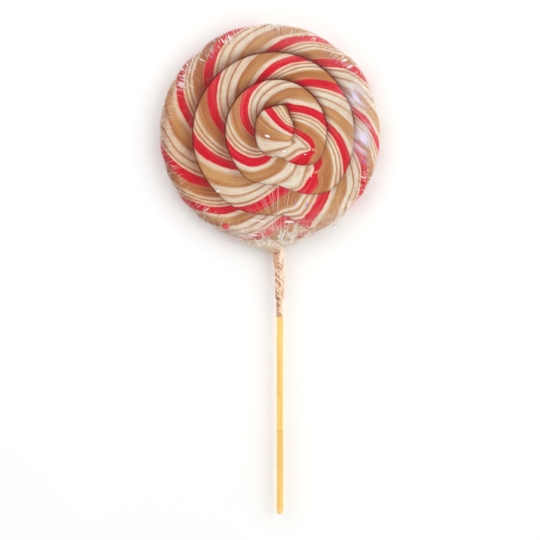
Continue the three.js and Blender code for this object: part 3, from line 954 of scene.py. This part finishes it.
crinkle_and_glint, drawn, crumple, sheen = (np.zeros_like(film_r) for _ in range(4))
for at, over, reach, much in CRINKLES_AND_GLINTS:
    off = np.degrees(angle_between(film_angle[None], math.radians(at)))
    crinkle_and_glint = np.maximum(crinkle_and_glint, much * bell(off / over) * smooth((reach - from_rim) / 4))
crinkle_and_glint = np.maximum(crinkle_and_glint, RIM_CRINKLE_AND_GLINT * smooth((10 - from_rim) / 5))
crinkle_and_glint = crinkle_and_glint * (0.15 + 0.85 * smooth((film_z - 3.5) / 5))
far, aim = np.hypot(x - MOUTH_X, y - MOUTH_Y), np.degrees(np.arctan2(x - MOUTH_X, y - MOUTH_Y))
for over, reach, fade, much in DRAWN:
    drawn = np.maximum(drawn, much * bell(aim / over) * smooth((reach - far) / fade))
for at, over, upper, fade, much in CRUMPLES:
    crumple = np.maximum(crumple, much * bell((x - at) / over) * smooth((upper - y) / fade))
for sx, sy, along, over in SHEENS:
    near, off = turned(x - sx, y - sy, math.atan2(sx, -sy))
    sheen = np.maximum(sheen, bell(near / along) * bell(off / over))

# %% Film skin
# At the mouth the film leaves the rim towards the stick: how far out, at, over.
LEAVES = [(1.7, 262, 9), (1.3, 277, 6), (1.2, 290, 5), (0.5, 298, 5), (1.7, 307, 4), (0.6, 315, 4)]
leave = sum(out * bell((film_degrees - at) / over) for out, at, over in LEAVES)
film_r = film_r + leave * go_out + pleat * go_out
film_z = np.broadcast_to(film_z, film_r.shape) + pleat * go_up * 0.8
skin = np.stack([film_r * np.cos(film_angle), film_r * np.sin(film_angle), film_z], axis=-1)
skin = np.vstack([skin.reshape(-1, 3), [0, 0, FILM_TOP], [0, 0, FILM_BACK]])
ids = np.arange(film_r.size).reshape(film_r.shape)
quads = grid_faces(ids, closed=True)[:, ::-1].tolist()
for ring_ids, hub, flip in ((ids[0], film_r.size, False), (ids[-1], film_r.size + 1, True)):
    around = np.stack([ring_ids, np.roll(ring_ids, -1), np.full_like(ring_ids, hub)], axis=1)
    quads += (around[:, ::-1] if flip else around).tolist()
# The painted sheen over the last turn.
lit_veil = towards(film_degrees, LIT_VEIL_AIM)[None] ** 5 * smooth((film_r - 38) / 16)
masks = {"drawn": drawn, "crumple": crumple, "sheen": sheen, "lit_veil": lit_veil}
masks = {"crinkle_and_glint": crinkle_and_glint} | {key: mask * front for key, mask in masks.items()}
masks = {key: np.concatenate([mask.ravel(), [0, 0]]) for key, mask in masks.items()}
film_skin = make_piece("film_skin", skin, quads, values=masks)
print("film skin faces:", len(quads))

# %% [markdown]
# ### Clear film
#
# Clear plastic hardly shows on its own: light passes straight through it and a small part is
# mirrored. Small waves break that mirror into glints. Crinkled film whitens and scatters some
# light, and on top of that highlights, sheens and small glints are painted in as a matt white
# layer; the tightest dimples split the light into violet, which is painted there too. Deep pleats
# also throw a brownish shade on the sugar under them, painted into the colour the film lets
# through. The mirror's strength is worked out for light that meets the film from outside. From
# the candy's side the index is turned over, or the skin would act as the wall of a solid block
# of plastic and shut in light that a thin film lets out.

# %% Clear film finish
# Small glints painted white where the tight film is dimpled: x, y, half length, half width,
# direction.
GLINTS = [
    (-2.4, -1.9, 1.5, 0.9, 0), (6.8, -9.9, 1.9, 0.7, 10), (-29.3, -31.6, 1.6, 0.5, 40),
    (17.4, -11.6, 1.0, 0.35, 0), (21.0, -23.4, 0.8, 0.4, 60), (0.5, -12.5, 0.7, 0.4, 0),
    (-10.2, -55.2, 6.0, 0.45, -12), (-7.5, -47.6, 7.0, 0.4, -8), (9.5, -48.2, 3.2, 0.7, 8),
]  # fmt: skip
# Glints painted bluish violet where thin film splits the light.
VIOLET_GLINTS = [
    (-32.4, 41.0, 0.8, 0.5, 60), (-31.7, 43.0, 0.5, 0.3, 40), (32.6, 39.9, 0.9, 0.4, -40),
    (34.6, 38.0, 0.6, 0.3, -20), (50.0, -15.5, 1.5, 0.45, -70), (49.5, -19.0, 0.6, 0.3, -60),
    (52.0, 6.5, 0.8, 0.4, -40), (12.6, -38.0, 2.6, 0.3, 92), (18.6, -39.0, 2.2, 0.3, 84),
]  # fmt: skip
FILM_INDEX = 1.35
# Strength of the painted sheen over the last turn, and the film's faint even milkiness.
LIT_VEIL, LEAST_VEIL = 0.06, 0.003
WHITEST = 0.9

film_waves, n, given = new_group("Film waves", {"Place": "Vector"}, {"Height": "Float"})
give_out(film_waves, n.scaled(n.noise(given[0], 700), 0.18, n.noise(given[0], 190)))


def streaks_from(n, place, centre, per_radian, per_metre, low, high, stray_by=3.0):
    """Thin streaks that run straight away from a centre, as a mask."""
    x, y, z = n.add("SeparateXYZ", {0: n.vector("SUBTRACT", place, centre)}).outputs
    away = n.math("SQRT", n.math("ADD", n.times(x, x), n.times(y, y)))
    away = n.math("SUBTRACT", away, z)
    stray = n.times(n.noise(place, 240, 1.0), stray_by)
    around = n.scaled(n.math("ARCTAN2", x, y), per_radian, stray)
    across = n.add("CombineXYZ", {0: around, 1: n.times(away, per_metre)})
    return n.spread(n.noise(across, 1.0, 1.0, 0.4), low, high)


PARTS_OF_FILM = ("crinkle_and_glint", "drawn", "crumple", "sheen")
film_marks, n, given = new_group(
    "Film marks",
    {"Place": "Vector"} | {name: "Float" for name in PARTS_OF_FILM},
    {"White": "Float", "Facets": "Float", "Shade": "Float", "Violet": "Float"},
)
place, crinkle_and_glint_in, drawn_in, crumple_in, sheen_in = given[:5]
mouth, below_mouth = (MOUTH_X * MM, MOUTH_Y * MM, 0), (MOUTH_X * MM, MOUTH_Y * MM - 0.004, 0)
# Painted highlights, with the film's own whitening, on the rim's crinkles.
rim_streaks = n.times(streaks_from(n, place, (0, 0, 0), 80, 150, 0.53, 0.64), crinkle_and_glint_in)
mouth_streaks = n.times(streaks_from(n, place, mouth, 44, 30, 0.54, 0.7, 0.8), drawn_in)
stray = n.vector("SUBTRACT", n.noise(place, 260, 1.0, output="Color"), (0.5, 0.5, 0.5))
bent, bent_little = (n.vector("MULTIPLY_ADD", stray, [much] * 3, place) for much in (0.005, 0.0022))
cells = n.add("TexVoronoi", {"Vector": bent, "Scale": 150.0}, feature="DISTANCE_TO_EDGE").outputs[0]
edges = n.spread(cells, 0.02, 0.08, 0.8, 0.0)
haze = n.spread(n.noise(place, 220, 3.0, 0.6), 0.36, 0.66, 0.15, 0.8)
fan = streaks_from(n, place, below_mouth, 13, 90, 0.5, 0.66, 2.0)
milky = n.times(crumple_in, n.most(haze, edges, fan))
slanted = n.noise(n.laid_along(place, -48, (1 / 70, 1 / 420, 1)))
lit = n.times(sheen_in, n.spread(slanted, 0.36, 0.62, 0.2, 1.0))
glints = (n.spread(n.spot(bent_little, shape), 0.5, 1.0, 1.0, 0.0) for shape in GLINTS)
violets = (n.spread(n.spot(bent_little, shape), 0.4, 1.0, 0.9, 0.0) for shape in VIOLET_GLINTS)
violet = n.most(*violets)
white = n.most(rim_streaks, mouth_streaks, milky, lit, violet, *glints)
pleat_streaks = streaks_from(n, place, (0, 0, 0), 95, 130, 0.52, 0.64)
shade = n.times(pleat_streaks, n.spread(crinkle_and_glint_in, 0.0, 0.6, 0.0, 0.5))
give_out(film_marks, white, n.times(crumple_in, cells), shade, violet)

material, n = new_material("clear film")
place = n.here()
marks_here = n.group(film_marks, place, *(n.value(name) for name in PARTS_OF_FILM))
white_here, facets, shade, violet = marks_here
height = n.scaled(facets, 2.5, n.group(film_waves, place)[0])
bump, soft_bump = n.bump(height, 0.5, 0.0012), n.bump(height, 0.2, 0.0008)
behind = n.add("NewGeometry").outputs["Backfacing"]
index = n.spread(behind, 0.0, 1.0, FILM_INDEX, 1 / FILM_INDEX)
mirrored = n.add("Fresnel", {"IOR": index, "Normal": bump})
tint = n.mix(n.spread(n.noise(place, 90, 1.0), 0.4, 0.65), rgb(255, 255, 255), rgb(236, 226, 252))
shine = n.add("BsdfGlossy", {"Color": tint, "Roughness": 0.1, "Normal": bump})
clear = n.add("BsdfTransparent", {"Color": n.mix(shade, rgb(255, 255, 255), rgb(226, 196, 172))})
film = n.add("MixShader", {0: mirrored, 1: clear, 2: shine})
fold_row = [(0.36, rgb(200, 152, 112)), (0.48, rgb(238, 220, 196)), (0.6, rgb(252, 248, 242))]
folded = n.ramp(n.noise(place, 260, 3.0, 0.65), fold_row)
# Colour of the matt white layer: lilac where a sheen is painted, folded cream where the film is
# crumpled, violet where violet glints are painted.
crinkle_and_painted_light_colour = n.mix(n.value("sheen"), rgb(248, 245, 240), rgb(238, 226, 248))
crinkle_and_painted_light_colour = n.mix(n.value("crumple"), crinkle_and_painted_light_colour, folded)
crinkle_and_painted_light_colour = n.mix(violet, crinkle_and_painted_light_colour, rgb(150, 124, 240))
crinkles_and_painted_light = n.add("BsdfDiffuse", {"Color": crinkle_and_painted_light_colour, "Normal": soft_bump})
# Share of the matt white layer: whitened crinkles and painted light, the painted sheen over the last
# turn, and a faint even milkiness.
amount = n.scaled(white_here, WHITEST, n.scaled(n.value("lit_veil"), LIT_VEIL, LEAST_VEIL))
cover([film_skin], material, n.add("MixShader", {0: amount, 1: film, 2: crinkles_and_painted_light}))
print("film finish:", len(GLINTS), "white glints and", len(VIOLET_GLINTS), "violet ones")

# %% [markdown]
# ## The film's neck and tail
#
# Below the disc the film is a flat gather that runs into a sleeve, twisted round the stick into
# ropy folds, and ends in a short stretch that clings to the stick. Many layers lie on top of
# each other here, so it looks milky and solid, pinkish cream. Painted shade browns the hollows
# between the folds and the side away from the light.

# %% Neck and tail
GATHER = [
    (-50, -22, 24, 3.0), (-57, -20, 18.5, 4.2), (-59.5, -14, 11.5, 4.6), (-61.0, -10.8, 6.9, 4.4),
    (-61.8, -7.6, 6.5, 4.1), (-63.0, -4.3, 6.4, 3.7), (-64.6, -0.3, 6.5, 3.2),
]  # fmt: skip
SLEEVE = [
    (-66, 3.55, 3.0), (-70, 3.55, 2.9), (-74, 4.35, 2.85), (-78, 4.4, 2.65), (-82, 4.35, 2.5),
    (-85.5, 4.2, 2.45), (-89.6, 4.3, 2.35),
]  # fmt: skip
NECK_SIDES = 120
FOLD_PITCH = 17
NECK_CLEARANCE = 0.18
stations = [(y, (left + right) / 2, (right - left) / 2, half) for y, left, right, half in GATHER]
stations += [(y, x, radius, radius) for y, x, radius in SLEEVE]
stations = np.array(stations)
neck_y = np.concatenate([np.arange(-50, -66, -0.25), np.arange(-66, -89.5, -0.2), [-89.6]])
neck_x, neck_wide, neck_high = (
    np.interp(-neck_y, -stations[:, 0], column)[:, None] for column in stations.T[1:]
)
angle = np.linspace(0, 2 * np.pi, NECK_SIDES, endpoint=False)[None]
y = neck_y[:, None]
# Twisted folds, uneven in pitch and height, that grow out of a fan of small pleats.
phase = angle - y / FOLD_PITCH * 2 * np.pi + 0.3 * np.sin(0.83 * y) + 0.16 * np.sin(2.3 * y + 1)
uneven_folds = 0.72 + 0.28 * np.sin(phase + 0.47 * y) * np.cos(0.31 * y + 2 * angle)
ridges = np.abs(np.cos(2 * phase)) ** 0.8 * uneven_folds
folds = 0.6 * ridges - 0.32 + 0.12 * np.cos(7 * phase + 1.3 + 1.8 * np.sin(0.9 * y))
folds = folds + 0.08 * np.cos(11 * angle + 2.9 * y) + 0.05 * np.cos(5 * angle - 4.3 * y + 1)
grow_in = smooth((-60 - y) / 5)
fan = 0.3 * np.cos(23 * angle + 0.3 * y) * smooth((y + 66) / 4) * smooth((-54 - y) / 4)
lift = folds * grow_in + fan
x = neck_x + (neck_wide + lift) * np.cos(angle)
z = MIDDLE + (neck_high + lift) * np.sin(angle)
# No fold goes into the stick.
close = np.hypot(x - STICK_X, z - MIDDLE)
scale = np.maximum(1, (STICK_RADIUS + NECK_CLEARANCE) / np.maximum(close, 1e-6))
x, z = STICK_X + (x - STICK_X) * scale, MIDDLE + (z - MIDDLE) * scale
# Painted shade: the hollows between the folds and the side away from the light are browned.
shade_side = 0.26 * smooth((STICK_X + 0.6 - x) / 1.6) - 0.06
hollow = np.clip(0.36 - 0.75 * lift * grow_in + shade_side, 0, 1)
neck = make_tube("film_twist", x, y, z, {"hollow": hollow, "mouth": 1 - grow_in})
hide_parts("film_neck")

TAIL_START, TAIL_END = -88.8, -99.6
TAIL_CLEARANCE = 0.16
tail_y = np.concatenate([np.arange(TAIL_START, TAIL_END, -0.25), [TAIL_END]])


def tail_radius(y, angle):
    phase = angle - y / FOLD_PITCH * 2 * np.pi
    wrinkle = 0.05 * np.cos(3 * phase) + 0.03 * np.cos(8 * phase + y)
    return STICK_RADIUS + TAIL_CLEARANCE + wrinkle + 0.25 * smooth((y + 92) / 3)


# Painted shade on the tail: browner on its left, the side away from the light.
def tail_hollow(y, angle):
    return 0.5 - 0.38 * np.cos(angle) + 0.1 * np.cos(3 * angle + y)


tail = round_stick("film_tail", tail_y, 72, tail_radius, hollow=tail_hollow)

# %% Milky folded film finish
# Lengths of the noise's grains along and across the folds, which run down to the right.
FOLD_GRAINS, FOLD_DIRECTION = (1 / 300, 1 / 720, 1 / 480), -38

material, n = new_material("folded film")
place = n.here()
patch = n.noise(n.laid_along(place, FOLD_DIRECTION, FOLD_GRAINS), 1.0, 3.0, 0.65)
# Painted shade, with some mottling, turns the cream towards brown.
patchy_shade = n.scaled(n.math("SUBTRACT", patch, 0.5), 2.0, n.value("hollow"))
cream_to_shade_row = [
    (0.1, rgb(248, 230, 204)), (0.4, rgb(236, 203, 172)), (0.66, rgb(208, 154, 122)),
    (0.95, rgb(154, 96, 76)),
]  # fmt: skip
grey_row = [(0.36, rgb(196, 178, 158)), (0.5, rgb(224, 212, 194)), (0.62, rgb(240, 232, 222))]
greyer = n.times(n.value("mouth"), 0.85)
colour = n.mix(greyer, n.ramp(patchy_shade, cream_to_shade_row), n.ramp(patch, grey_row))
bump = n.bump(n.group(film_waves, place)[0], 0.4, 0.0006)
roughness = n.spread(patch, 0.3, 0.7, 0.22, 0.34)
cover([neck, tail], material, n.principled(colour, roughness, Normal=bump))
print("neck and tail:", len(neck_y) + len(tail_y), "rows of points round the stick")

# %% [markdown]
# ## Floor, light and camera
#
# The photograph is taken straight from the front, against white. Here the lollipop lies on a pale
# table with the shown side up, and the camera looks down on it. The light is soft and comes
# from the upper right, so the lower left of the disc is a little deeper in tone.

# %% Floor
FLOOR_HALF = 6.0
corners = [(x * FLOOR_HALF, y * FLOOR_HALF, 0) for x, y in ((-1, -1), (1, -1), (1, 1), (-1, 1))]
floor_mesh = bpy.data.meshes.new("floor")
floor_mesh.from_pydata(corners, [], [(0, 1, 2, 3)])
floor = bpy.data.objects.new("floor", floor_mesh)
bpy.context.scene.collection.objects.link(floor)
material, n = new_material("pale table")
cloud = n.spread(n.noise(n.here(), 6), 0.3, 0.7)
colour = n.mix(cloud, rgb(252, 252, 251), rgb(254, 254, 253))
cover([floor], material, n.principled(colour, 0.9))
floor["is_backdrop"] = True

# %% Light
# Grey of the room by height, from the floor to overhead, and its strength.
ROOM_GREYS = [(0.0, 0.9), (0.45, 1.0), (0.72, 0.75), (0.86, 0.2), (1.0, 0.14)]
ROOM_STRENGTH = 1.18
# Each lamp: name, place and aim in metres, width, power in watts, colour.
LAMPS = [
    ("key", (0.66, 0.1, 0.8), (0, -0.02, 0), 1.0, 3.6, (1, 0.99, 0.97)),
    ("fill", (-0.45, 0.5, 0.8), (0, -0.05, 0), 1.0, 2.6, (0.98, 0.98, 1)),
]

scene = bpy.context.scene
scene.view_settings.view_transform = "Standard"
world = bpy.data.worlds.new("room")
scene.world = world
world.use_nodes = True
world.node_tree.nodes.clear()
n = Nodes(world.node_tree)
high = n.add("SeparateXYZ", {0: n.add("TexCoord").outputs["Generated"]}).outputs[2]
sky = n.ramp(high, [(at, (grey, grey, grey, 1)) for at, grey in ROOM_GREYS])
background = n.add("Background", {"Color": sky, "Strength": ROOM_STRENGTH})
n.put(n.add("OutputWorld").inputs["Surface"], background)

for name, place, aim, width, power, colour in LAMPS:
    lamp = bpy.data.lights.new(name, "AREA")
    lamp.shape = "DISK"
    lamp.size, lamp.energy, lamp.color = width, power, colour
    light = bpy.data.objects.new(name, lamp)
    scene.collection.objects.link(light)
    light.location = place
    light.rotation_mode = "QUATERNION"
    direction = mathutils.Vector(aim) - mathutils.Vector(place)
    light.rotation_quaternion = direction.to_track_quat("-Z", "Y")
    print(f"{name} lamp: {power} W, {direction.length:.2f} m away")

# %% Camera
FRAME_WIDTH = 0.2919
LENS, SENSOR = 85, 36
LOOKS_AT = (-0.00108, -0.07405, 0.009)

camera_data = bpy.data.cameras.new("camera")
camera_data.lens, camera_data.sensor_width = LENS, SENSOR
camera = bpy.data.objects.new("camera", camera_data)
scene.collection.objects.link(camera)
distance = FRAME_WIDTH * LENS / SENSOR
x, y, z = LOOKS_AT
camera.location = (x, y, z + distance)
camera.rotation_euler = (0, 0, 0)
scene.camera = camera
print(f"camera {distance * 1000:.0f} mm above the disc")

low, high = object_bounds()
